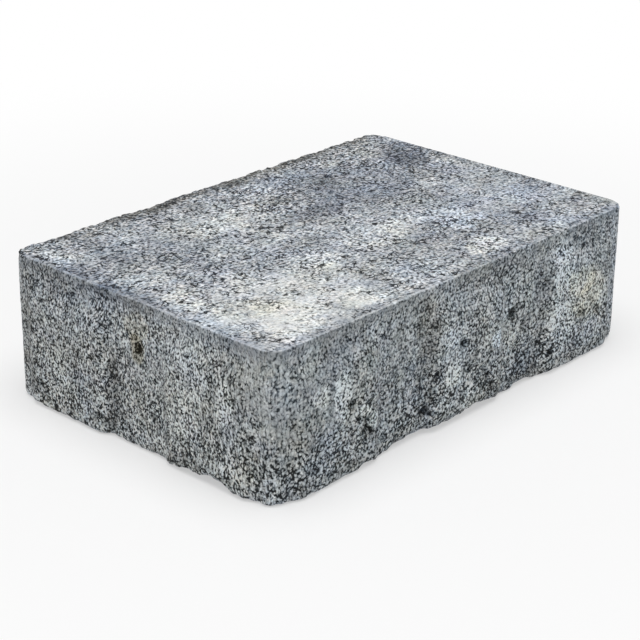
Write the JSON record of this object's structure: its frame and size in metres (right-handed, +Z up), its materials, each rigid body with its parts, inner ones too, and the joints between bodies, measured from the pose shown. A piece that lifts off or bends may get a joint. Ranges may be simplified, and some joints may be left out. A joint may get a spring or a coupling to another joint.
{
  "type": "concrete paver",
  "caption": "Rectangular pressed concrete paving block with rounded upright corners, a softened top edge and low spacer lugs on its sides.",
  "frame": {"origin": "middle of the bed face, the face that the paver lies on", "axes": "+Z up out of the wearing face, +X along the length, +Y along the width"},
  "size_m": [0.215, 0.145, 0.06],
  "materials": {
    "concrete": "matte, open-grained, mottled blue-grey and cream"
  },
  "bodies": {
    "root": {"paver": "concrete"}
  },
  "joints": []
}
